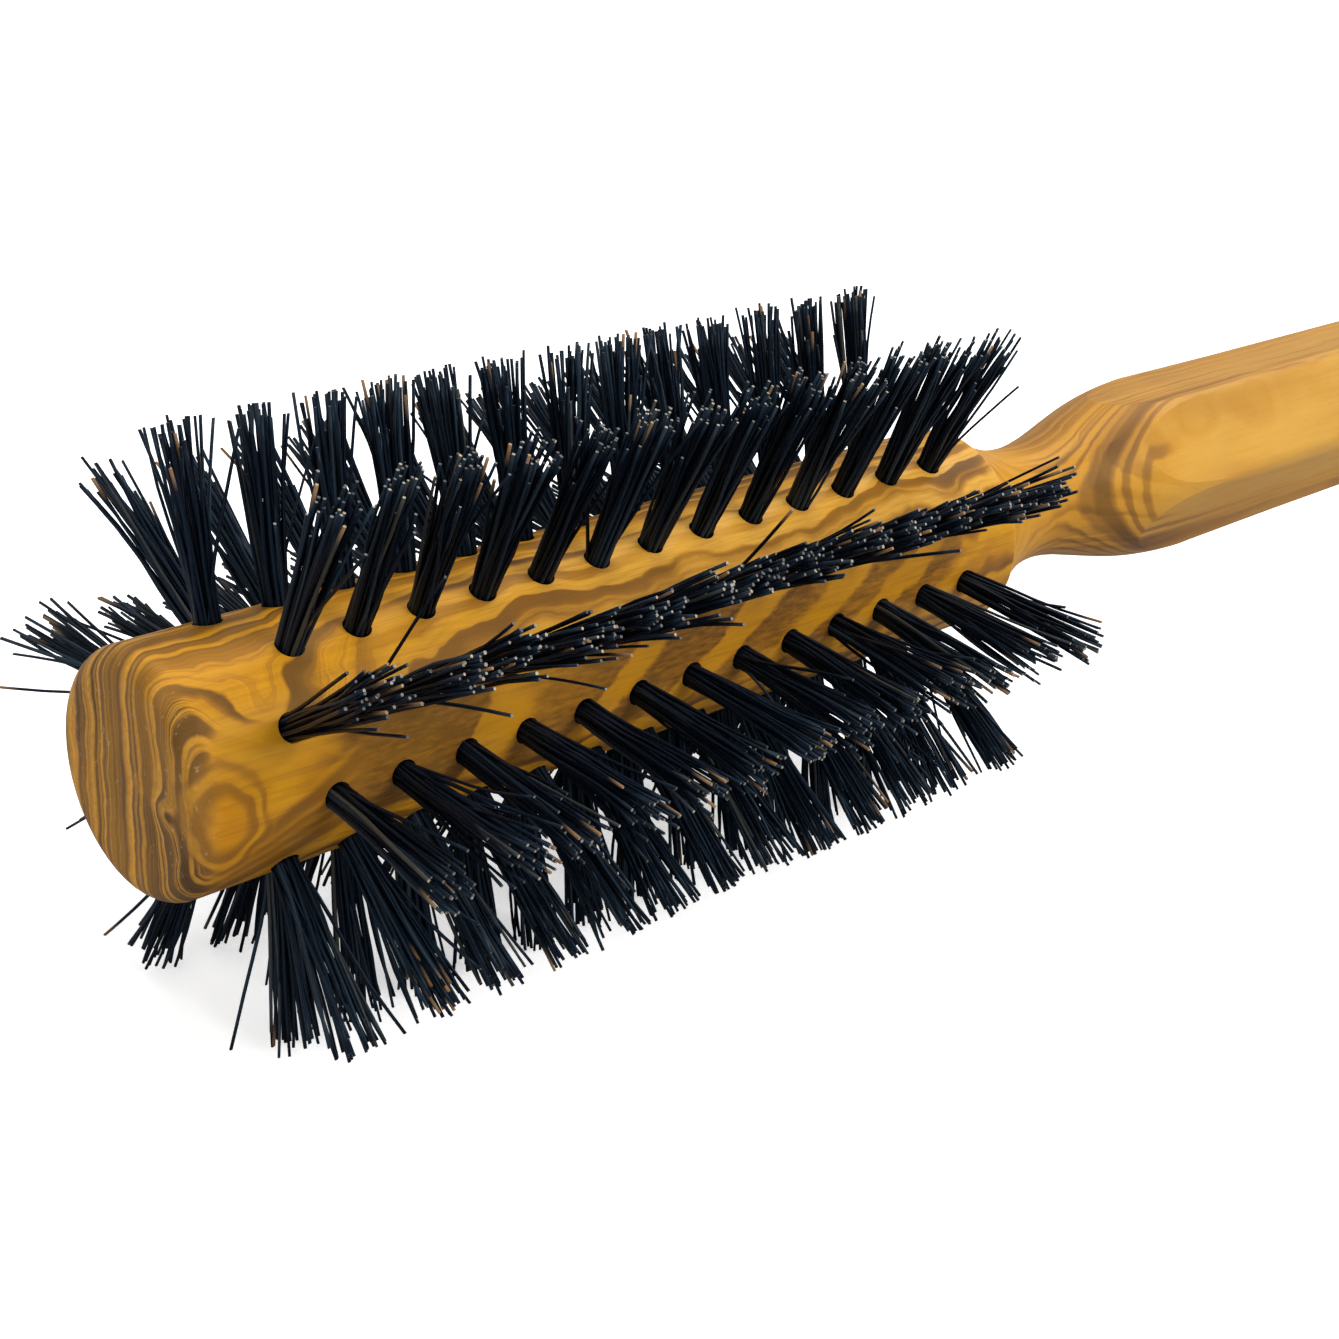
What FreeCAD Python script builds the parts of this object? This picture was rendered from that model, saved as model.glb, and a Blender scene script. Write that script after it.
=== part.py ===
import FreeCAD, Part
import math
import os

os.makedirs("parts", exist_ok=True)

# Round barrel brush for hair: one turned wooden body (barrel, waisted neck and
# six-sided handle), with tufts of bristle set in blind holes all round the
# barrel. Each tuft is folded over a flat wire anchor at the foot of its hole.
# Millimetres, +Z up. The barrel axis lies along X: free end at -X, handle at +X.
# The brush lies on the tips of its two lowest rows, which touch z = 0.

# ---- tuft layout
rows = 10
tufts_per_row = 13
tuft_pitch = 6.4
row_angle_step = 360.0 / rows
# odd rows start at the first station, even rows half a pitch further on
stagger = tuft_pitch / 2.0

# ---- barrel
barrel_radius = 10.3
nose_to_first_tuft = 8.9
nose_edge_round = 2.0
shoulder_from_first_tuft = 88.3
shoulder_break = 0.35

# ---- neck and handle, all stations measured from the first tuft
neck_radius = 6.18
neck_station = 101.0
blank_radius = 10.25
blank_full_station = 130.0
handle_end_station = 221.1
handle_dome_length = 11.0
handle_sides = 6
handle_across_flats = 18.15
handle_corner_radius = 10.11
# the flats start shallow and their corners nearly sharp, and open out to the handle's full
# section: (station, size across the flats, distance from the axis to a rounded corner)
flats_run = [
    (111.0, 17.70, 10.20),
    (120.0, 17.75, 10.20),
    (126.0, 17.95, 10.25),
    (134.0, 18.08, 10.18),
    (146.0, handle_across_flats, handle_corner_radius),
]
# one flat faces sideways and up, this many degrees above the horizontal
flat_angle = 38.5

# ---- tufts, holes and anchors
hole_radius = 1.2
hole_depth = 6.0
tuft_foot_radius = 1.1
tuft_tip_radius = 2.7
tuft_free_length = 15.4
tuft_foot_gap = 0.1
anchor_thickness = 0.4
anchor_height = 1.3
anchor_lift = 0.6
anchor_bite = 0.4
anchor_slot_gap = 0.06

total_length = nose_to_first_tuft + handle_end_station
first_tuft_x = nose_to_first_tuft - total_length / 2.0
tip_radius = barrel_radius + tuft_free_length
lowest_row_tilt = math.radians(row_angle_step / 2.0)
# height of the axis, so that the lowest tuft corners touch z = 0
axis_z = tip_radius * math.cos(lowest_row_tilt) + tuft_tip_radius * math.sin(lowest_row_tilt)


def at_station(distance):
    """X of a point at a distance from the first tuft."""
    return first_tuft_x + distance


def section_point(distance, radius):
    """A point of the turned outline, in the vertical plane through the axis."""
    return FreeCAD.Vector(at_station(distance), 0, axis_z + radius)


def outward(angle_deg):
    """Unit vector away from the axis: 0 is towards -Y, 90 is up."""
    a = math.radians(angle_deg)
    return FreeCAD.Vector(0, -math.cos(a), math.sin(a))


def row_angle(row):
    return row * row_angle_step


def row_stations(row):
    """Distances of a row's tufts from the first tuft of the odd rows."""
    offset = stagger if row % 2 == 0 else 0.0
    return [offset + k * tuft_pitch for k in range(tufts_per_row)]


def turned_blank():
    """The lathe-turned body, before the flats and the holes."""
    nose = -nose_to_first_tuft
    end = handle_end_station
    dome_start = end - handle_dome_length
    slant = nose_edge_round * (1.0 - math.sqrt(0.5))
    nose_edge = Part.Arc(
        section_point(nose, barrel_radius - nose_edge_round),
        section_point(nose + slant, barrel_radius - slant),
        section_point(nose + nose_edge_round, barrel_radius),
    )
    # the cove behind the shoulder, the waist, and the swell into the handle
    neck_outline = [
        (shoulder_from_first_tuft, barrel_radius - shoulder_break),
        (shoulder_from_first_tuft + 4.2, 7.94),
        (shoulder_from_first_tuft + 8.2, 6.66),
        (neck_station, neck_radius),
        (107.0, 6.89),
        (113.0, 8.33),
        (119.0, 9.56),
        (124.0, 10.09),
        (blank_full_station, blank_radius),
    ]
    neck = Part.BSplineCurve()
    neck.interpolate([section_point(x, r) for x, r in neck_outline])
    # quarter ellipse that closes the handle's end
    dome_centre = section_point(dome_start, 0.0)
    dome = Part.BSplineCurve()
    steps = 8
    dome_points = []
    for k in range(steps + 1):
        a = math.pi / 2.0 * k / steps
        x = dome_start + handle_dome_length * math.sin(a)
        dome_points.append(section_point(x, blank_radius * math.cos(a)))
    dome_points[-1] = dome_centre + FreeCAD.Vector(handle_dome_length, 0, 0)
    along = FreeCAD.Vector(1, 0, 0)
    inward = FreeCAD.Vector(0, 0, -1)
    dome.interpolate(Points=dome_points, InitialTangent=along, FinalTangent=inward)
    outline = [
        Part.makeLine(section_point(nose, 0), section_point(nose, barrel_radius - nose_edge_round)),
        nose_edge.toShape(),
        Part.makeLine(
            section_point(nose + nose_edge_round, barrel_radius),
            section_point(shoulder_from_first_tuft - shoulder_break, barrel_radius),
        ),
        Part.makeLine(
            section_point(shoulder_from_first_tuft - shoulder_break, barrel_radius),
            section_point(shoulder_from_first_tuft, barrel_radius - shoulder_break),
        ),
        neck.toShape(),
        Part.makeLine(
            section_point(blank_full_station, blank_radius),
            section_point(dome_start, blank_radius),
        ),
        dome.toShape(),
        Part.makeLine(section_point(end, 0), section_point(nose, 0)),
    ]
    face = Part.Face(Part.Wire(outline))
    return face.revolve(section_point(0, 0), FreeCAD.Vector(1, 0, 0), 360)


def six_sided_section(station, across, corner_radius):
    """The handle's section, with its corners rounded over to a distance from the axis."""
    centre = section_point(station, 0)
    half_angle = math.pi / handle_sides
    sharp_corner = across / 2.0 / math.cos(half_angle)
    rounding = (sharp_corner - corner_radius) / (1.0 / math.cos(half_angle) - 1.0)
    half_side = across / 2.0 * math.tan(half_angle)
    inset = rounding * math.tan(half_angle)
    edges = []
    for k in range(handle_sides):
        angle = flat_angle + k * 360.0 / handle_sides
        out = outward(angle)
        side = outward(angle + 90.0)
        next_out = outward(angle + 360.0 / handle_sides)
        next_side = outward(angle + 360.0 / handle_sides + 90.0)
        first = centre + out * (across / 2.0) - side * (half_side - inset)
        last = centre + out * (across / 2.0) + side * (half_side - inset)
        crown = centre + outward(angle + 180.0 / handle_sides) * corner_radius
        following = centre + next_out * (across / 2.0) - next_side * (half_side - inset)
        edges.append(Part.makeLine(first, last))
        edges.append(Part.Arc(last, crown, following).toShape())
    return Part.Wire(edges)


def flats_cutter():
    """Everything outside the six-sided section, along the handle."""
    start = flats_run[0][0]
    beyond = handle_end_station + 5.0
    along = FreeCAD.Vector(1, 0, 0)
    sections = [six_sided_section(*place) for place in flats_run]
    sections.append(six_sided_section(beyond, handle_across_flats, handle_corner_radius))
    core = Part.makeLoft(sections, True, True)
    drum = Part.makeCylinder(blank_radius + 4.0, beyond - start, section_point(start, 0), along)
    return drum.cut(core)


def rim_point(station, angle, radius):
    """A point at a radius from the axis, in a given direction."""
    return section_point(station, 0) + outward(angle) * radius


def tuft_holes():
    holes = []
    for row in range(rows):
        angle = row_angle(row)
        for station in row_stations(row):
            foot = rim_point(station, angle, barrel_radius - hole_depth)
            holes.append(Part.makeCylinder(hole_radius, hole_depth + 2.0, foot, outward(angle)))
    return Part.makeCompound(holes)


def anchor_box(station, angle, grow, length):
    """A flat block across a hole, near its foot, seen along the hole's axis."""
    thick = anchor_thickness + 2.0 * grow
    high = anchor_height + 2.0 * grow
    box = Part.makeBox(thick, length, high)
    box.translate(FreeCAD.Vector(-thick / 2.0, -length / 2.0, -grow))
    # the block is built with its height along +Z, then turned to the row's angle
    box.rotate(FreeCAD.Vector(0, 0, 0), FreeCAD.Vector(1, 0, 0), 90.0 - angle)
    foot = rim_point(station, angle, barrel_radius - hole_depth + anchor_lift)
    box.translate(foot)
    return box


def tuft(station, angle):
    """One tuft: a round foot in the hole, and a free part that spreads to its tips."""
    direction = outward(angle)
    foot_length = hole_depth - tuft_foot_gap
    foot = rim_point(station, angle, barrel_radius - foot_length)
    mouth = rim_point(station, angle, barrel_radius)
    root = Part.makeCylinder(tuft_foot_radius, foot_length, foot, direction)
    spread = Part.makeCone(
        tuft_foot_radius, tuft_tip_radius, tuft_free_length, mouth, direction
    )
    slot = anchor_box(station, angle, anchor_slot_gap, 4.0 * hole_radius)
    return root.fuse(spread).cut(slot)


def anchor(station, angle):
    """The flat wire anchor, whose ends bite into the wall of the hole."""
    return anchor_box(station, angle, 0.0, 2.0 * (hole_radius + anchor_bite))


def save(shape, node):
    shape.exportStep("parts/" + node + ".step")
    box = shape.BoundBox
    size = [round(v, 2) for v in (box.XLength, box.YLength, box.ZLength)]
    print(node, len(shape.Solids), shape.isValid(), size)


body = turned_blank().cut(flats_cutter()).cut(tuft_holes())
save(Part.makeCompound(body.Solids), "wood_body")

for row in range(rows):
    angle = row_angle(row)
    tufts = [tuft(station, angle) for station in row_stations(row)]
    anchors = [anchor(station, angle) for station in row_stations(row)]
    save(Part.makeCompound(tufts), "bristle_row_%02d" % (row + 1))
    save(Part.makeCompound(anchors), "staple_row_%02d" % (row + 1))

print("axis height", round(axis_z, 4), "first tuft x", round(first_tuft_x, 3))
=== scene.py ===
import math

import bpy
import numpy as np
from mathutils import Matrix, Vector


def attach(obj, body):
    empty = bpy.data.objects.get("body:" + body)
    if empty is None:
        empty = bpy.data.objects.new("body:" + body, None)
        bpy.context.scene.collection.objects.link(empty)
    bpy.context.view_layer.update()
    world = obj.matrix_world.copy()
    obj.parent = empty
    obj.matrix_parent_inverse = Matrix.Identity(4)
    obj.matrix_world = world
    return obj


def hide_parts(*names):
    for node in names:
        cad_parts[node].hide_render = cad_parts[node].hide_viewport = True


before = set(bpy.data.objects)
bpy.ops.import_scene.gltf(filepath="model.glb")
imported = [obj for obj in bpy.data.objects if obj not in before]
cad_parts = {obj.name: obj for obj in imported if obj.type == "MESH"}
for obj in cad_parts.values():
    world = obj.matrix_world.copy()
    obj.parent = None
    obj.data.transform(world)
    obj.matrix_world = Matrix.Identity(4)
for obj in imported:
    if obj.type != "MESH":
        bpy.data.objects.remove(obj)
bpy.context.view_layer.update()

# ---------------------------------------------------------------- the brush's own sizes, metres
AXIS_Z = 0.0252765
FIRST_TUFT_X = -0.1061
PITCH = 0.0064
ROWS = 10
ROW_STEP_DEG = 36.0
TUFTS = 13
BARREL_R = 0.0103
FREE_LENGTH = 0.0154

MM = 1000.0
WHITE = (1.0, 1.0, 1.0, 1.0)


def facing(degrees):
    """Unit vector away from the barrel's axis: 0 is the near side (-Y), 90 is up."""
    angle = math.radians(degrees)
    return (0.0, -math.cos(angle), math.sin(angle))


def srgb(r, g, b):
    """0-255 screen colour to linear."""
    return tuple((c / 255 / 12.92) if c <= 10 else ((c / 255 + 0.055) / 1.055) ** 2.4 for c in (r, g, b))


# ---------------------------------------------------------------- node helpers
class Nodes:
    """Short names for building a material's node tree."""

    def __init__(self, name):
        self.mat = bpy.data.materials.new(name)
        self.mat.use_nodes = True
        self.tree = self.mat.node_tree
        self.tree.nodes.clear()
        self.out = self.tree.nodes.new("ShaderNodeOutputMaterial")

    def add(self, kind, inputs=None, **props):
        node = self.tree.nodes.new("ShaderNode" + kind)
        for key, value in props.items():
            setattr(node, key, value)
        for key, value in (inputs or {}).items():
            self.put(node.inputs[key], value)
        return node

    def put(self, socket, value):
        if isinstance(value, bpy.types.NodeSocket):
            self.tree.links.new(value, socket)
        else:
            socket.default_value = value

    def math(self, op, a, b=0.0, clamp=False):
        node = self.add("Math", operation=op, use_clamp=clamp)
        self.put(node.inputs[0], a)
        self.put(node.inputs[1], b)
        return node.outputs[0]

    def plus(self, a, b, clamp=False):
        return self.math("ADD", a, b, clamp)

    def minus(self, a, b):
        return self.math("SUBTRACT", a, b)

    def times(self, a, b, clamp=False):
        return self.math("MULTIPLY", a, b, clamp)

    def vmath(self, op, a, b=(0.0, 0.0, 0.0)):
        node = self.add("VectorMath", operation=op)
        self.put(node.inputs[0], a)
        self.put(node.inputs[1], b)
        return node.outputs["Value"] if op in ("DOT_PRODUCT", "LENGTH") else node.outputs[0]

    def scaled(self, vector, factors):
        return self.vmath("MULTIPLY", vector, factors)

    def reach_from(self, vector, centre, radii):
        """Distance from a centre, in units of the radii."""
        return self.vmath("LENGTH", self.vmath("DIVIDE", self.vmath("SUBTRACT", vector, centre), radii))

    def noise(self, vector, cells, detail, rough, output=0):
        """Smooth random value over space; cells is its number of cells per unit along each axis."""
        node = self.add("TexNoise", {
            "Vector": self.scaled(vector, cells), "Scale": 1.0, "Detail": detail, "Roughness": rough,
        })
        return node.outputs[output]

    def noise_along(self, value, cells, detail, rough):
        """Smooth random value along one number."""
        node = self.add("TexNoise", {
            "W": value, "Scale": cells, "Detail": detail, "Roughness": rough,
        }, noise_dimensions="1D")
        return node.outputs[0]

    def ramp(self, fac, stops):
        node = self.add("ValToRGB", {"Fac": fac})
        elements = node.color_ramp.elements
        while len(elements) < len(stops):
            elements.new(0.5)
        for element, (place, colour) in zip(elements, stops):
            element.position = place
            element.color = (*colour, 1.0)
        return node.outputs["Color"]

    def grey_ramp(self, fac, stops):
        return self.ramp(fac, [(place, (level,) * 3) for place, level in stops])

    def profile(self, value, start, span, stops):
        """Grey ramp over a measured length, with its stops given in that length's own unit."""
        fac = self.remap(value, start, start + span)
        return self.grey_ramp(fac, [((at - start) / span, level) for at, level in stops])

    def mix(self, fac, a, b, blend="MIX"):
        node = self.add("Mix", data_type="RGBA", blend_type=blend)
        self.put(node.inputs[0], fac)
        self.put(node.inputs[6], a)
        self.put(node.inputs[7], b)
        return node.outputs[2]

    def tint(self, fac, colour, r, g, b):
        """Mix a screen colour over another."""
        return self.mix(fac, colour, (*srgb(r, g, b), 1.0))

    def remap(self, value, a, b, c=0.0, d=1.0):
        node = self.add("MapRange", clamp=True)
        for key, v in zip(("Value", "From Min", "From Max", "To Min", "To Max"), (value, a, b, c, d)):
            self.put(node.inputs[key], v)
        return node.outputs[0]

    def fading(self, value, mask, level):
        """The value times 1, or times the level where the mask is 1."""
        return self.times(value, self.remap(mask, 0.0, 1.0, 1.0, level))

    def surface(self, inputs):
        """Ends the material in one surface, and gives the material."""
        shader = self.add("BsdfPrincipled", inputs)
        self.put(self.out.inputs["Surface"], shader.outputs[0])
        return self.mat


# ---------------------------------------------------------------- olive wood, in millimetres
# the pith's distance from the axis, and its direction at the nose and at the handle
PITH_DISTANCE = 36.0
PITH_AT_NOSE_DEG = 12.0
PITH_AT_HANDLE_DEG = 40.0
# the ring that stays in place where the rings crowd
MIDDLE_RING = 27.0
CROWDING = 1.3
RINGS_PER_MM = 0.47
# directions round the axis: where the rings are sliced flat, the brown patches, the long grain
SLICED_DEG = 16.0
PATCHES_DEG = 9.0
LONG_GRAIN_DEG = 60.0

# knots, where the rings bulge or close on themselves: (place, reach, lift)
KNOTS = [
    ((-107.5, -7.4, 7.2), (5.0, 4.0, 2.6), 1.8),
    ((-115.5, -5.0, -0.3), (3.0, 1.6, 1.3), -2.0),
    ((-96.8, -9.8, 3.3), (6.5, 5.0, 3.6), 1.6),
    ((4.8, -5.4, 7.2), (1.5, 1.5, 1.4), -1.2),
    ((-72.0, -9.4, -3.5), (5.0, 5.0, 3.0), 1.6),
    ((-44.0, -9.0, 4.0), (7.0, 4.0, 3.0), -1.8),
    ((-58.0, 7.5, 6.5), (6.0, 4.0, 4.0), 2.2),
    ((62.0, 8.5, -4.5), (9.0, 5.0, 4.0), 2.0),
]

# one ring from its pale early side to its crisp late line: (share of the ring, darkness)
RING_PROFILE = [
    (0.0, 0.0), (0.28, 0.04), (0.50, 0.42), (0.66, 0.82), (0.78, 0.96), (0.87, 0.72), (0.95, 0.16),
    (1.0, 0.0),
]

# broad brown patches on the flat-sliced side: (distance along the barrel, darkness)
PATCH_START = 2.0
PATCH_SPAN = 80.0
PATCHES = [
    (2.6, 0.10), (4.4, 0.66), (8.0, 0.76), (16.6, 0.80), (17.8, 0.90), (18.5, 0.14), (23.0, 0.12),
    (25.2, 0.56), (31.5, 0.66), (32.8, 0.80), (33.6, 0.14), (36.6, 0.12), (37.8, 0.72), (44.6, 0.62),
    (45.6, 0.80), (46.4, 0.12), (50.8, 0.08), (52.0, 0.62), (57.2, 0.46), (58.6, 0.12), (62.6, 0.10),
    (63.8, 0.66), (68.4, 0.50), (69.6, 0.12), (73.4, 0.12), (74.8, 0.62), (79.5, 0.40), (81.0, 0.12),
]

# the streak under the eye: (fifths of a millimetre to either side, darkness)
STREAK = [(0.0, 0.36), (0.14, 0.52), (0.24, 0.34), (0.38, 0.56), (0.52, 0.60), (0.62, 0.30), (0.70, 0.10)]

# nested bands round the swell: (depth towards the tilt, darkness)
BAND_START = 3.4
BAND_SPAN = 6.0
BAND_TILT_DEG = 17.0
# how fast the sheets bow: depth per width squared
BAND_BOW = 1.0 / 32.0
BANDS = [
    (3.60, 0.30), (3.90, 0.10), (4.30, 0.14), (4.50, 0.46), (4.70, 0.12), (5.10, 0.15),
    (5.30, 0.52), (5.50, 0.14), (5.75, 0.18), (5.95, 0.56), (6.10, 0.14), (6.35, 0.20),
    (6.55, 0.52), (6.80, 0.54), (6.96, 0.86), (7.35, 0.90), (7.55, 0.36), (7.64, 0.12),
    (7.76, 0.15), (7.84, 0.60), (7.98, 0.54), (8.08, 0.08), (8.36, 0.10), (8.46, 0.46),
    (8.60, 0.46), (8.72, 0.06), (9.40, 0.00),
]

# the eye beside the nose, a gold heart in a brown ring: (half the distance in its radii, darkness)
EYE_PLACE = (-112.7, -10.1, 0.7)
EYE_RADII = (3.2, 4.6, 4.2)
EYE_PROFILE = [
    (0.0, 0.22), (0.20, 0.18), (0.27, 0.44), (0.32, 0.62), (0.38, 0.50), (0.42, 0.16), (0.47, 0.10),
    (0.53, 0.52), (0.56, 0.60), (0.60, 0.26),
]

# a pin knot on the swell, and plain gold between the eye and the rings above it
PIN_KNOT_PLACE = (5.0, -5.6, 7.3)
PIN_KNOT_RADII = (0.9, 0.8, 0.8)
CLEARING_PLACE = (-109.6, -8.6, 5.0)
CLEARING_RADII = (4.8, 4.0, 2.5)

# darkness to colour, on the barrel and, paler, on the handle
BARREL_COLOURS = [
    (0.0, srgb(198, 140, 26)), (0.22, srgb(184, 125, 26)), (0.48, srgb(138, 91, 30)),
    (0.76, srgb(96, 63, 28)), (1.0, srgb(70, 46, 24)),
]
HANDLE_COLOURS = [
    (0.0, srgb(196, 150, 68)), (0.25, srgb(184, 134, 52)), (0.5, srgb(146, 103, 50)), (1.0, srgb(98, 68, 40)),
]


class OliveWood(Nodes):
    """Waxed olive wood. All of it follows from the place in the piece, in millimetres from the
    barrel's axis, so that the rings run on from the barrel's side into the end grain."""

    def __init__(self):
        super().__init__("olive_wood_waxed")
        where = self.add("TexCoord").outputs["Object"]
        self.place = self.vmath("SUBTRACT", self.scaled(where, (MM,) * 3), (0.0, 0.0, AXIS_Z * MM))
        split = self.add("SeparateXYZ", {"Vector": self.place})
        self.x, self.y, self.z = (split.outputs[axis] for axis in "XYZ")
        self.wander()
        self.ring = self.growth_rings()
        self.ring_lines()
        self.end_grain = self.along(-113.2, -114.4)
        dark = self.handle_bands(self.nose_grain(self.barrel_sides(self.barrel_grain())))
        self.eye_masks()
        self.dark = self.beside_nose(dark)

    def wobble(self, cells, detail, rough, reach):
        """A random shift in space, with its reach along each axis."""
        shift = self.noise(self.place, cells, detail, rough, "Color")
        return self.scaled(self.vmath("SUBTRACT", shift, (0.5,) * 3), reach)

    def along(self, start, end, first=0.0, last=1.0):
        """Goes from one level to another between two places along the brush."""
        return self.remap(self.x, start, end, first, last)

    def towards(self, degrees):
        """Cosine of the angle, round the axis, from a direction."""
        round_axis = self.vmath("NORMALIZE", self.scaled(self.place, (0.0, 1.0, 1.0)))
        return self.vmath("DOT_PRODUCT", round_axis, facing(degrees))

    def wander(self):
        """Slow and quick wander of the grain: long along it, shorter across it."""
        self.slow = self.wobble((0.026, 0.030, 0.030), 1.0, 0.5, (0.0, 12.0, 7.0))
        quick = self.wobble((0.115, 0.075, 0.075), 2.0, 0.45, (0.0, 5.6, 3.2))
        shiver = self.wobble((0.34, 0.40, 0.40), 2.0, 0.5, (0.0, 0.8, 0.8))
        self.unrest = self.vmath("ADD", quick, shiver)
        self.ripple = self.vmath("DOT_PRODUCT", self.unrest, (0.0, 0.36, 0.55))

    def growth_rings(self):
        """Distance from the pith, which runs outside the brush and climbs towards the handle."""
        # the grain runs straighter along the barrel than at the nose, and calms down along the handle
        calm = self.along(-98.0, -84.0, 1.0, 0.62)
        calm = self.times(calm, self.along(0.0, 22.0, 1.0, 0.6))
        wander = self.vmath("MULTIPLY", self.vmath("ADD", self.slow, self.unrest), calm)
        wandered = self.vmath("ADD", self.place, wander)
        turn = self.along(-66.0, 2.0, math.radians(PITH_AT_NOSE_DEG), math.radians(PITH_AT_HANDLE_DEG))
        pith = self.add("CombineXYZ", {
            "X": 0.0,
            "Y": self.times(self.math("COSINE", turn), -PITH_DISTANCE),
            "Z": self.times(self.math("SINE", turn), PITH_DISTANCE),
        }).outputs[0]
        across = self.scaled(self.vmath("SUBTRACT", wandered, pith), (0.0, 1.0, 1.0))
        ring = self.vmath("LENGTH", across)
        for spot, reach, lift in KNOTS:
            local = self.vmath("DIVIDE", self.vmath("SUBTRACT", self.place, spot), reach)
            bump = self.math("EXPONENT", self.times(self.vmath("DOT_PRODUCT", local, local), -1.0))
            ring = self.plus(ring, self.times(bump, lift))
        # the rings crowd together behind the shoulder
        crowd = self.along(-34.0, -2.0, 1.0, CROWDING)
        return self.plus(self.times(self.minus(ring, MIDDLE_RING), crowd), MIDDLE_RING)

    def ring_lines(self):
        """The late wood of each ring, the fine lines, and the groups of darker rings."""
        uneven = self.noise_along(self.ring, 0.36, 2.0, 0.6)
        step = self.math("FRACT", self.plus(self.times(self.ring, RINGS_PER_MM), self.times(uneven, 1.2)))
        self.late = self.grey_ramp(step, RING_PROFILE)
        fine = self.remap(self.noise_along(self.ring, 1.9, 3.0, 0.7), 0.44, 0.64)
        # the fine lines are lost where the rings are sliced flat, on the face towards the pith
        self.fine = self.times(fine, self.remap(self.towards(SLICED_DEG), 0.82, 0.97, 1.0, 0.25))
        self.group = self.remap(self.noise_along(self.ring, 0.24, 1.0, 0.5), 0.38, 0.58, 0.45, 1.0)

    def barrel_grain(self):
        """Darkness of the lines, with some stretches of the piece darker than others."""
        patch = self.remap(self.noise(self.place, (0.07, 0.09, 0.09), 2.0, 0.5), 0.37, 0.60, 0.62, 1.38)
        lines = self.plus(self.times(self.late, 0.90), self.times(self.fine, 0.30))
        return self.times(lines, self.times(self.group, patch), clamp=True)

    def barrel_sides(self, dark):
        """The near side, sliced nearly flat, the long grain above it, lightened partly as a painted
        highlight, and the streak under the eye.
        """
        # flat slices open the rings into broad brown patches with gold between, leaning to the handle
        lean_rate = self.along(-92.0, -60.0, 0.5, 2.0)
        leaning = self.minus(self.plus(self.x, 106.24), self.times(self.minus(self.z, 3.0), lean_rate))
        wave = self.noise(self.place, (0.20, 0.30, 0.30), 3.0, 0.55)
        leaning = self.plus(leaning, self.plus(self.ripple, self.times(self.minus(wave, 0.5), 5.5)))
        patches = self.profile(leaning, PATCH_START, PATCH_SPAN, PATCHES)
        grit = self.noise(self.place, (0.55, 2.6, 2.6), 3.0, 0.65)
        patches = self.times(patches, self.remap(grit, 0.36, 0.64, 0.68, 1.28))
        flat_side = self.plus(self.towards(PATCHES_DEG), self.times(self.ripple, 0.012))
        flat_side = self.remap(flat_side, 0.880, 0.925)
        flat_side = self.times(flat_side, self.along(-104.5, -101.0))
        flat_side = self.times(flat_side, self.along(-24.0, -29.0))
        # above it the grain is cut along, and shows long pale stretches with thin lines; the lines are faded
        # there partly for that grain and partly as a painted highlight on the upper side
        upper_side = self.remap(self.towards(LONG_GRAIN_DEG), 0.88, 0.95)
        upper_side = self.times(upper_side, self.along(-103.0, -96.0))
        upper_side = self.times(upper_side, self.along(-20.0, -27.0))
        dark = self.fading(dark, upper_side, 0.60)
        dark = self.mix(self.times(flat_side, 0.95), dark, patches)
        # a brown streak runs down from the first patch, under the eye
        down = self.minus(self.plus(self.z, 2.0), self.times(self.plus(self.x, 106.4), 0.45))
        down = self.math("ABSOLUTE", self.plus(down, self.times(self.ripple, 0.7)))
        streak = self.grey_ramp(self.times(down, 0.2), STREAK)
        low_side = self.times(self.remap(down, 3.7, 3.1), self.along(-113.6, -111.5))
        near = self.times(self.along(-99.0, -102.0), self.remap(self.y, -2.0, -5.0))
        return self.mix(self.times(low_side, near), dark, streak)

    def nose_grain(self, dark):
        """End grain on the nose: crisper, and darker towards the side with the eye."""
        sharp = self.plus(self.times(self.late, 0.62), self.times(self.fine, 0.62))
        crowded = self.times(self.group, self.remap(self.y, -1.0, -7.0, 1.08, 1.6))
        dark = self.mix(self.end_grain, dark, self.times(sharp, crowded, clamp=True))
        # the darkest bands wrap round the nose's turned edge there
        rim = self.remap(self.math("ABSOLUTE", self.plus(self.x, 113.9)), 1.7, 0.6)
        rim = self.times(rim, self.remap(self.y, -2.0, -5.5))
        return self.times(dark, self.remap(rim, 0.0, 1.0, 1.0, 1.6), clamp=True)

    def handle_bands(self, dark):
        """Nested bands round the swell, cut from bowed sheets, that run on along the flats as streaks."""
        tilt = math.radians(BAND_TILT_DEG)
        toward = facing(BAND_TILT_DEG)
        sideways = (0.0, math.sin(tilt), math.cos(tilt))
        depth = self.vmath("DOT_PRODUCT", self.place, toward)
        bow = self.math("POWER", self.vmath("DOT_PRODUCT", self.place, sideways), 2.0)
        drift = self.vmath("DOT_PRODUCT", self.unrest, toward)
        drift = self.times(drift, self.along(2.0, 10.0, 0.20, 0.07))
        sheet = self.plus(self.plus(depth, self.times(bow, BAND_BOW)), drift)
        bands = self.profile(sheet, BAND_START, BAND_SPAN, BANDS)
        # the plain grain is quieter on the neck, on the swell and on the flat cut from one sheet
        swell = self.along(-12.0, -3.0)
        plain = self.times(self.remap(sheet, 8.3, 8.8), self.along(6.0, 14.0))
        neck = self.times(self.along(-19.5, -17.0), self.along(-2.0, -8.0))
        quiet = self.fading(self.remap(plain, 0.0, 1.0, 1.0, 0.30), neck, 0.32)
        dark = self.times(dark, self.fading(quiet, swell, 0.28))
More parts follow.
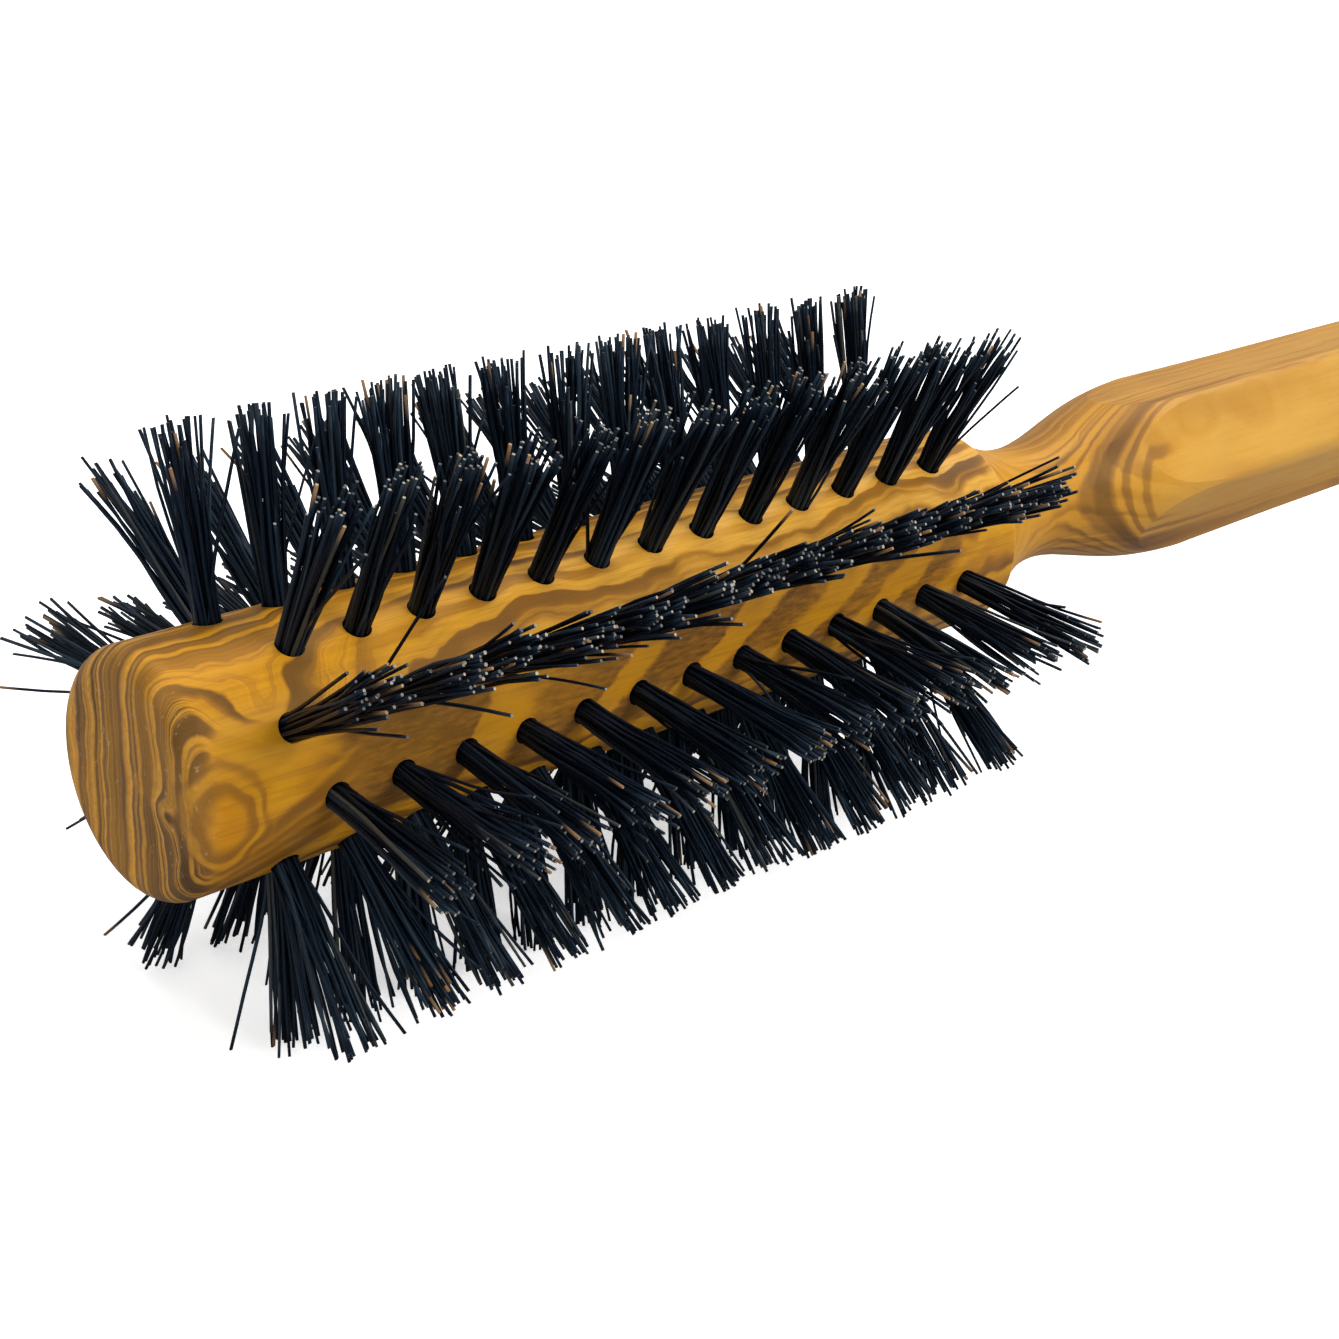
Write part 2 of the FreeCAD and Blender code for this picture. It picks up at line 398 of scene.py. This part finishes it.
        # the bands fade along the handle, and end where its flat is clear
        clear = self.times(self.remap(sheet, 8.12, 8.35), self.along(11.0, 17.0))
        fade = self.fading(self.along(12.0, 34.0, 1.0, 0.30), clear, 0.10)
        dark = self.plus(dark, self.times(bands, self.times(swell, fade)), clamp=True)
        # a pin knot beside the bands
        pin = self.reach_from(self.place, PIN_KNOT_PLACE, PIN_KNOT_RADII)
        return self.plus(dark, self.remap(pin, 1.0, 0.4, 0.0, 0.55), clamp=True)

    def eye_masks(self):
        """Distances from the eye and from the plain gold between it and the rings above it."""
        swayed = self.vmath("ADD", self.place, self.wobble((0.28, 0.28, 0.28), 1.0, 0.5, (2.4, 2.4, 2.4)))
        self.eye = self.reach_from(swayed, EYE_PLACE, EYE_RADII)
        self.gold = self.reach_from(swayed, CLEARING_PLACE, CLEARING_RADII)

    def beside_nose(self, dark):
        """The eye's rings in place of the others, and the clearing above it."""
        heart = self.grey_ramp(self.times(self.eye, 0.5), EYE_PROFILE)
        gold = self.times(self.remap(self.gold, 1.25, 0.80), self.remap(self.end_grain, 1.0, 0.0))
        dark = self.fading(dark, gold, 0.22)
        around = self.times(dark, self.remap(self.eye, 0.95, 1.30))
        return self.plus(around, self.times(heart, self.remap(self.eye, 1.30, 0.95)))

    def nose_colour(self, wood):
        """The end grain soaks up more wax, and looks greyer and deeper."""
        wood = self.tint(self.times(self.end_grain, 0.22), wood, 160, 128, 86)
        tone = self.remap(self.noise_along(self.ring, 0.42, 2.0, 0.6), 0.36, 0.64)
        tone = self.grey_ramp(tone, [(0.0, 0.62), (0.55, 1.0), (1.0, 1.34)])
        wood = self.mix(self.end_grain, wood, tone, "MULTIPLY")
        deep = self.times(self.end_grain, self.remap(self.dark, 0.35, 0.9, 0.0, 0.55))
        deep = self.times(deep, self.remap(self.y, -2.5, -7.5, 0.15, 1.0))
        wood = self.tint(deep, wood, 62, 42, 22)
        flecks = self.remap(self.noise(self.place, (1.3, 1.6, 1.1), 2.0, 0.6), 0.64, 0.72)
        return self.tint(self.times(self.times(flecks, self.end_grain), 0.45), wood, 190, 164, 122)

    def painted_highlights(self, wood):
        """Painted highlights: a pale line along the shoulder's turned edge, and a paler tint on the gold of
        the barrel's top, where it faces the light.
        """
        # painted highlight: a thin pale line on the shoulder's turned edge
        edge = self.times(self.along(-18.35, -18.05), self.along(-17.55, -17.8))
        wood = self.tint(self.times(edge, 0.55), wood, 226, 186, 122)
        # painted highlight: the barrel's upper side tinted paler where its grain is gold, stronger away from
        # the nose and ending at the shoulder
        top_highlight = self.remap(self.towards(LONG_GRAIN_DEG), 0.80, 0.96)
        top_highlight = self.times(top_highlight, self.remap(self.dark, 0.50, 0.08, 0.0, 0.42))
        along = self.times(self.along(-100.0, -56.0), self.along(-17.2, -18.6))
        return self.tint(self.times(top_highlight, along), wood, 228, 180, 90)

    def fibre_colour(self, wood, fibre, pores):
        """Fibres and pores along the grain; the handle is sanded finer than the barrel."""
        coarse = self.along(-19.0, -17.0, 1.0, 0.45)
        coarse = self.times(coarse, self.along(-12.0, 10.0, 1.0, 0.65))
        wood = self.tint(self.times(self.remap(fibre, 0.35, 0.75, 0.0, 0.22), coarse), wood, 112, 74, 28)
        strand = self.noise(self.place, (0.10, 2.1, 2.1), 2.0, 0.6)
        wood = self.tint(self.times(self.remap(strand, 0.48, 0.74, 0.0, 0.34), coarse), wood, 104, 68, 30)
        return self.tint(self.times(pores, 0.35), wood, 84, 52, 24)

    def broad_colour(self, wood):
        """Warmer and browner stretches."""
        glow = self.noise(self.place, (0.05, 0.12, 0.12), 1.0, 0.5)
        wood = self.tint(self.remap(glow, 0.4, 0.7, 0.0, 0.22), wood, 204, 142, 32)
        tones = self.noise(self.place, (0.035, 0.16, 0.16), 2.0, 0.5)
        tones = self.times(self.remap(tones, 0.62, 0.40, 0.0, 0.42), self.along(0.0, 20.0))
        return self.tint(tones, wood, 164, 112, 44)

    def material(self):
        """Colour, sheen and relief."""
        handle = self.along(-14.0, 20.0)
        wood = self.mix(handle, self.ramp(self.dark, BARREL_COLOURS), self.ramp(self.dark, HANDLE_COLOURS))
        wood = self.tint(self.remap(self.eye, 0.80, 0.30, 0.0, 0.55), wood, 196, 124, 6)
        fibre = self.noise(self.place, (0.35, 5.0, 5.0), 3.0, 0.6)
        pores = self.remap(self.noise(self.place, (0.9, 8.0, 8.0), 1.0, 0.5), 0.70, 0.80)
        wood = self.painted_highlights(self.nose_colour(wood))
        wood = self.broad_colour(self.fibre_colour(wood, fibre, pores))
        rough = self.plus(self.times(fibre, 0.16), self.plus(self.times(self.dark, 0.08), 0.32))
        relief = self.minus(self.times(fibre, 0.5), self.plus(pores, self.times(self.dark, 0.3)))
        bump = self.add("Bump", {"Strength": 0.25, "Distance": 0.00006, "Height": relief})
        return self.surface({
            "Base Color": wood, "Roughness": rough, "Normal": bump.outputs[0],
            "Specular IOR Level": 0.20, "Specular Tint": (1.0, 0.82, 0.50, 1.0),
        })


# ---------------------------------------------------------------- bristle and wire
def bristle_paint(n):
    """Each bristle's own tone, the share of its length, and how brown its tip is."""
    paint = n.add("Attribute", attribute_name="bristle")
    parts = n.add("SeparateColor", {"Color": paint.outputs["Color"]})
    return parts.outputs[0], parts.outputs[1], parts.outputs[2]


def bristle_shaft():
    """Boar bristle: near black, a cool sheen, some shafts browner, some tips tan."""
    n = Nodes("boar_bristle_shaft")
    tone, along, brown = bristle_paint(n)
    where = n.add("TexCoord").outputs["Object"]
    streak = n.noise(where, (3000.0,) * 3, 2.0, 0.6)
    base = n.ramp(tone, [
        (0.0, srgb(3, 7, 15)), (0.50, srgb(6, 13, 25)), (0.75, srgb(15, 25, 37)),
        (0.93, srgb(35, 47, 57)), (1.0, srgb(64, 60, 52)),
    ])
    base = n.tint(n.remap(streak, 0.4, 0.7, 0.0, 0.25), base, 14, 20, 28)
    base = n.tint(n.times(n.remap(along, 0.85, 0.97), brown), base, 152, 114, 72)
    bump = n.add("Bump", {"Strength": 0.3, "Distance": 0.00002, "Height": streak})
    return n.surface({
        "Base Color": base, "Roughness": n.plus(n.times(streak, 0.25), 0.26), "Normal": bump.outputs[0],
        "Specular IOR Level": 0.22, "Specular Tint": (0.48, 0.72, 1.0, 1.0),
    })


def bristle_cut():
    """The pale cut end of a bristle."""
    n = Nodes("boar_bristle_cut_end")
    tone, _, brown = bristle_paint(n)
    where = n.add("TexCoord").outputs["Object"]
    grit = n.noise(where, (5000.0,) * 3, 2.0, 0.6)
    base = n.ramp(tone, [
        (0.0, srgb(44, 47, 50)), (0.5, srgb(92, 92, 90)), (0.8, srgb(150, 146, 138)),
        (1.0, srgb(188, 168, 134)),
    ])
    base = n.tint(brown, base, 178, 138, 90)
    base = n.tint(n.remap(grit, 0.4, 0.65, 0.0, 0.4), base, 70, 66, 60)
    return n.surface({"Base Color": base, "Roughness": n.plus(grit, 0.15)})


def anchor_wire():
    """Drawn steel wire."""
    n = Nodes("anchor_wire_drawn")
    where = n.add("TexCoord").outputs["Object"]
    lines = n.noise(where, (900.0, 9000.0, 9000.0), 2.0, 0.6)
    base = n.ramp(lines, [(0.3, srgb(150, 150, 148)), (0.7, srgb(196, 196, 192))])
    return n.surface({"Base Color": base, "Roughness": n.plus(n.times(lines, 0.3), 0.25), "Metallic": 1.0})


WOOD = OliveWood().material()
SHAFT = bristle_shaft()
CUT = bristle_cut()
WIRE = anchor_wire()


def coat(name, material):
    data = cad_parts[name].data
    data.materials.clear()
    data.materials.append(material)


coat("wood_body", WOOD)
for row in range(1, ROWS + 1):
    coat("staple_row_%02d" % row, WIRE)


# ---------------------------------------------------------------- bristle tufts
# places along a bristle, as shares of its free length; the first lies inside the hole
STATIONS = np.array([-0.09, 0.02, 0.17, 0.34, 0.52, 0.70, 0.86, 1.0])
SIDES = 5
SHAFT_R = 0.000185
BUNDLE_R = 0.00103
BRISTLES = 36
BRISTLES_MORE_OR_LESS = 5
# the sunflower's turn, which fills a round hole evenly
GOLDEN_TURN = 2.399963
FOOT_SCATTER = 0.00004
HALF_SCATTER = 0.00025
FLOOR_GAP = 0.00018
FLOOR_GAP_MORE = 0.0001
# leans, as shares of the bristle's length: of a tuft's rim, of its two halves, of a lock, of each
# bristle, of the whole tuft and of a stray
SPREAD = (0.015, 0.055)
PARTING = 0.055
LOCKS = 7
LOCK_LEAN = 0.028
OWN_LEAN = 0.016
TUFT_LEAN = 0.018
STRAY_SHARE = 0.05
STRAY_LEAN = 0.16
FIRST_TUFT_LEAN = -0.05
LAST_TUFT_LEAN = 0.03
CURL = 0.022
CURL_BACK = 0.4
KINK = 0.006
KINK_TURN = 7.0
# how the lean grows along a bristle, and how much it takes from the reach
LEAN_POWER = 1.22
LEAN_DROP = 0.9
LENGTH_SCATTER = 0.034
TUFT_LENGTH_SCATTER = 0.014
SHORT_SHARE = 0.24
SHORT_LENGTHS = (0.70, 0.96)
LONGEST = 1.045
THICKNESSES = (0.82, 1.12)
TIP_THICKNESS = 0.80
BROWN_SHARE = 0.075
BROWN_DEPTHS = (0.4, 0.9)
FIRST_SEED = 4100


def bristle_feet(rng, count):
    """Places of a tuft's bristles in its hole: (along the barrel, round it) for each."""
    k = np.arange(count)
    radius = BUNDLE_R * np.sqrt((k + 0.5) / count)
    turn = k * GOLDEN_TURN + rng.uniform(0, 6.28)
    foot = np.stack([radius * np.cos(turn), radius * np.sin(turn)], 1)
    return foot + rng.normal(0, FOOT_SCATTER, foot.shape)


def bristle_leans(rng, foot, lean_end):
    """How far each bristle leans, along the barrel and round it, for its length."""
    count = len(foot)
    # the anchor parts each tuft in two halves, and each half leans its own way
    half = np.where(foot[:, 0] + rng.normal(0, HALF_SCATTER, count) > 0, 1.0, -1.0)
    spread = rng.uniform(*SPREAD)
    lean = foot / BUNDLE_R * spread
    part = rng.uniform(0.0, PARTING, 2)
    lean[:, 0] += np.where(half > 0, part[0], -part[1]) + lean_end
    # small locks of bristles that keep together
    locks = rng.normal(0, LOCK_LEAN, (LOCKS, 2))
    lean += locks[rng.integers(0, LOCKS, count)]
    lean += rng.normal(0, OWN_LEAN, (count, 2))
    lean += rng.normal(0, TUFT_LEAN, 2)
    stray = rng.random(count) < STRAY_SHARE
    lean[stray] += rng.normal(0, STRAY_LEAN, (int(stray.sum()), 2))
    return lean


def bristle_lengths(rng, count):
    """Free lengths: trimmed nearly even, with some bristles short of the rest."""
    length = FREE_LENGTH * (1.0 + rng.normal(0, LENGTH_SCATTER, count))
    length = length * (1 + rng.normal(0, TUFT_LENGTH_SCATTER))
    length *= np.where(rng.random(count) < SHORT_SHARE, rng.uniform(*SHORT_LENGTHS, count), 1.0)
    return np.minimum(length, FREE_LENGTH * LONGEST)


def tuft_points(rng, centre, out, along, side, lean_end):
    """Centre lines of one tuft's bristles: (bristles, stations, 3)."""
    count = BRISTLES + int(rng.integers(-BRISTLES_MORE_OR_LESS, BRISTLES_MORE_OR_LESS + 1))
    foot = bristle_feet(rng, count)
    lean = bristle_leans(rng, foot, lean_end)
    curl = rng.normal(0, CURL, (count, 2))
    kink = rng.normal(0, KINK, (count, 2))
    length = bristle_lengths(rng, count)
    up = np.clip(STATIONS[None, :, None], 0, None)
    shift = foot[:, None, :] + length[:, None, None] * (
        lean[:, None, :] * up ** LEAN_POWER + curl[:, None, :] * (up ** 2 - up * CURL_BACK)
        + kink[:, None, :] * np.sin(up * KINK_TURN)
    )
    # a leaning bristle reaches less far out
    drop = np.sqrt(np.clip(1.0 - (lean ** 2).sum(1) * LEAN_DROP, 0.5, 1.0))
    rise = length[:, None] * STATIONS[None, :] * drop[:, None]
    points = centre + shift[..., 0:1] * along + shift[..., 1:2] * side + rise[..., None] * out
    lowest = FLOOR_GAP + FLOOR_GAP_MORE * rng.random(count)[:, None]
    points[..., 2] = np.maximum(points[..., 2], lowest)
    return points


def tuft_tubes(rng, points, along, side):
    """Vertices round the centre lines, and each one's tone, share of length and brown tip."""
    count = len(points)
    thick = SHAFT_R * rng.uniform(*THICKNESSES, count)
    taper = np.interp(STATIONS, [0, 1], [1.0, TIP_THICKNESS])
    ring_turn = np.arange(SIDES) * 2 * math.pi / SIDES
    circle = np.cos(ring_turn)[:, None] * along + np.sin(ring_turn)[:, None] * side
    tube = points[:, :, None, :] + (thick[:, None] * taper[None, :])[..., None, None] * circle[None, None]
    tone = rng.random(count)
    brown = np.where(rng.random(count) < BROWN_SHARE, rng.uniform(*BROWN_DEPTHS, count), 0.0)
    paint = np.ones((count, len(STATIONS), SIDES, 4))
    paint[..., 0] = tone[:, None, None]
    paint[..., 1] = np.clip(STATIONS, 0, 1)[None, :, None]
    paint[..., 2] = brown[:, None, None]
    return tube.reshape(-1, 3), paint.reshape(-1, 4)


def tube_faces(count, base):
    """Side faces and end caps of some bristles, whose vertices start at base."""
    rings = len(STATIONS)
    start = base + np.arange(count)[:, None, None] * rings * SIDES
    ring = np.arange(rings - 1)[None, :, None] * SIDES
    a = np.arange(SIDES)[None, None, :]
    b = (a + 1) % SIDES
    here = start + ring
    quads = np.stack([here + a, here + b, here + SIDES + b, here + SIDES + a], -1)
    tip = (start[:, 0] + (rings - 1) * SIDES + np.arange(SIDES)[None, :]).reshape(-1, SIDES)
    foot = (start[:, 0] + np.arange(SIDES)[None, ::-1]).reshape(-1, SIDES)
    return quads.reshape(-1, 4), [tip, foot]


def mesh_of(name, coords, quads, caps, paints):
    """One mesh of smooth side faces and flat end caps."""
    mesh = bpy.data.meshes.new(name)
    mesh.vertices.add(len(coords))
    mesh.vertices.foreach_set("co", coords.astype(np.float32).ravel())
    loops = np.concatenate([quads.ravel(), caps.ravel()])
    mesh.loops.add(len(loops))
    mesh.loops.foreach_set("vertex_index", loops.astype(np.int32))
    starts = np.concatenate([np.arange(len(quads)) * 4, len(quads) * 4 + np.arange(len(caps)) * SIDES])
    mesh.polygons.add(len(starts))
    mesh.polygons.foreach_set("loop_start", starts.astype(np.int32))
    smooth = np.concatenate([np.ones(len(quads), bool), np.zeros(len(caps), bool)])
    mesh.materials.append(SHAFT)
    mesh.materials.append(CUT)
    mesh.update(calc_edges=True)
    mesh.polygons.foreach_set("use_smooth", smooth)
    mesh.polygons.foreach_set("material_index", (~smooth).astype(np.int32))
    colours = mesh.attributes.new("bristle", "FLOAT_COLOR", "POINT")
    colours.data.foreach_set("color", paints.astype(np.float32).ravel())
    mesh.validate()
    return mesh


def row_mesh(row, rng):
    """All the bristles of one row of tufts."""
    out = np.array(facing(ROW_STEP_DEG * (row - 1)))
    along = np.array([1.0, 0.0, 0.0])
    side = np.cross(out, along)
    # every second row stands half a pitch further on
    offset = PITCH / 2 if (row - 1) % 2 == 0 else 0.0
    end_leans = {0: FIRST_TUFT_LEAN, TUFTS - 1: LAST_TUFT_LEAN}
    coords, paints, quads, caps = [], [], [], []
    base = 0
    for k in range(TUFTS):
        centre = np.array([FIRST_TUFT_X + offset + k * PITCH, 0.0, AXIS_Z]) + out * BARREL_R
        points = tuft_points(rng, centre, out, along, side, end_leans.get(k, 0.0))
        tube, paint = tuft_tubes(rng, points, along, side)
        sides, ends = tube_faces(len(points), base)
        coords.append(tube)
        paints.append(paint)
        quads.append(sides)
        caps.extend(ends)
        base += len(tube)
    parts = [np.concatenate(part) for part in (coords, quads, caps, paints)]
    return mesh_of("bristles_row_%02d" % row, *parts)


for row in range(1, ROWS + 1):
    rng = np.random.default_rng(FIRST_SEED + row)
    piece = bpy.data.objects.new("bristles_row_%02d" % row, row_mesh(row, rng))
    bpy.context.scene.collection.objects.link(piece)
    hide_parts("bristle_row_%02d" % row)
    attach(piece, "root")


# ---------------------------------------------------------------- floor and room
FLOOR_REACH = 12.0
FLOOR_GLOW = 0.56
ROOM_LIGHT = 0.5


def pale_floor():
    """Seen bright, but throws less light back up at the brush."""
    n = Nodes("floor_pale")
    where = n.add("TexCoord").outputs["Object"]
    mottle = n.noise(where, (6.0,) * 3, 2.0, 0.5)
    shown = n.add("BsdfPrincipled", {
        "Base Color": n.grey_ramp(mottle, [(0.0, 0.90), (1.0, 0.93)]), "Roughness": 0.9,
        "Specular IOR Level": 0.1, "Emission Color": WHITE, "Emission Strength": FLOOR_GLOW,
    })
    dull = n.add("BsdfDiffuse", {"Color": (0.36, 0.36, 0.37, 1.0)})
    both = n.add("MixShader", {"Fac": n.add("LightPath").outputs["Is Camera Ray"]})
    n.put(both.inputs[1], dull.outputs[0])
    n.put(both.inputs[2], shown.outputs[0])
    n.put(n.out.inputs["Surface"], both.outputs[0])
    return n.mat


def white_room():
    """Soft even light, and a white backdrop wherever the camera looks past the floor."""
    world = bpy.data.worlds.new("studio")
    world.use_nodes = True
    tree = world.node_tree
    light = tree.nodes["Background"]
    light.inputs["Strength"].default_value = ROOM_LIGHT
    backdrop = tree.nodes.new("ShaderNodeBackground")
    for shader in (light, backdrop):
        shader.inputs["Color"].default_value = WHITE
    seen = tree.nodes.new("ShaderNodeLightPath")
    both = tree.nodes.new("ShaderNodeMixShader")
    tree.links.new(seen.outputs["Is Camera Ray"], both.inputs[0])
    tree.links.new(light.outputs[0], both.inputs[1])
    tree.links.new(backdrop.outputs[0], both.inputs[2])
    tree.links.new(both.outputs[0], tree.nodes["World Output"].inputs["Surface"])
    return world


floor_data = bpy.data.meshes.new("floor")
corners = [(x * FLOOR_REACH, y * FLOOR_REACH, 0) for x, y in ((-1, -1), (1, -1), (1, 1), (-1, 1))]
floor_data.from_pydata(corners, [], [(0, 1, 2, 3)])
floor_data.materials.append(pale_floor())
floor = bpy.data.objects.new("floor", floor_data)
bpy.context.scene.collection.objects.link(floor)
bpy.context.scene.world = white_room()


# ---------------------------------------------------------------- lamps
MIDDLE = (-0.02, 0.0, 0.025)
HANDLE_START = (0.05, 0.0, 0.025)


def softbox(name, place, target, width, height, power):
    lamp = bpy.data.lights.new(name, "AREA")
    lamp.shape = "RECTANGLE"
    lamp.size = width
    lamp.size_y = height
    lamp.energy = power
    box = bpy.data.objects.new(name, lamp)
    box.location = place
    box.rotation_mode = "QUATERNION"
    box.rotation_quaternion = (Vector(target) - Vector(place)).to_track_quat("-Z", "Y")
    bpy.context.scene.collection.objects.link(box)


softbox("key", (0.16, -0.52, 0.50), MIDDLE, 0.45, 0.45, 4.2)
softbox("top", (0.05, 0.25, 0.70), MIDDLE, 0.6, 0.5, 2.5)
softbox("fill", (-0.62, -0.12, 0.26), MIDDLE, 0.5, 0.5, 1.3)
softbox("rim", (0.62, 0.11, 0.66), HANDLE_START, 0.22, 0.22, 1.25)


# ---------------------------------------------------------------- camera
FOCAL_LENGTH = 59.149
CAMERA_PLACE = (-0.19351, -0.12440, 0.11418)
CAMERA_RIGHT = (0.7128, -0.6898, 0.1266)
CAMERA_FORWARD = (0.6589, 0.5968, -0.4579)

camera_data = bpy.data.cameras.new("camera")
camera_data.sensor_fit = "HORIZONTAL"
camera_data.sensor_width = 36.0
camera_data.lens = FOCAL_LENGTH
camera_data.clip_start = 0.01
camera_data.clip_end = 50.0
camera = bpy.data.objects.new("camera", camera_data)
right = Vector(CAMERA_RIGHT).normalized()
forward = Vector(CAMERA_FORWARD).normalized()
up = right.cross(forward).normalized()
turn = Matrix((right, up, -forward)).transposed().to_4x4()
camera.matrix_world = Matrix.Translation(CAMERA_PLACE) @ turn
bpy.context.scene.collection.objects.link(camera)
bpy.context.scene.camera = camera

bpy.context.scene.view_settings.view_transform = "Standard"
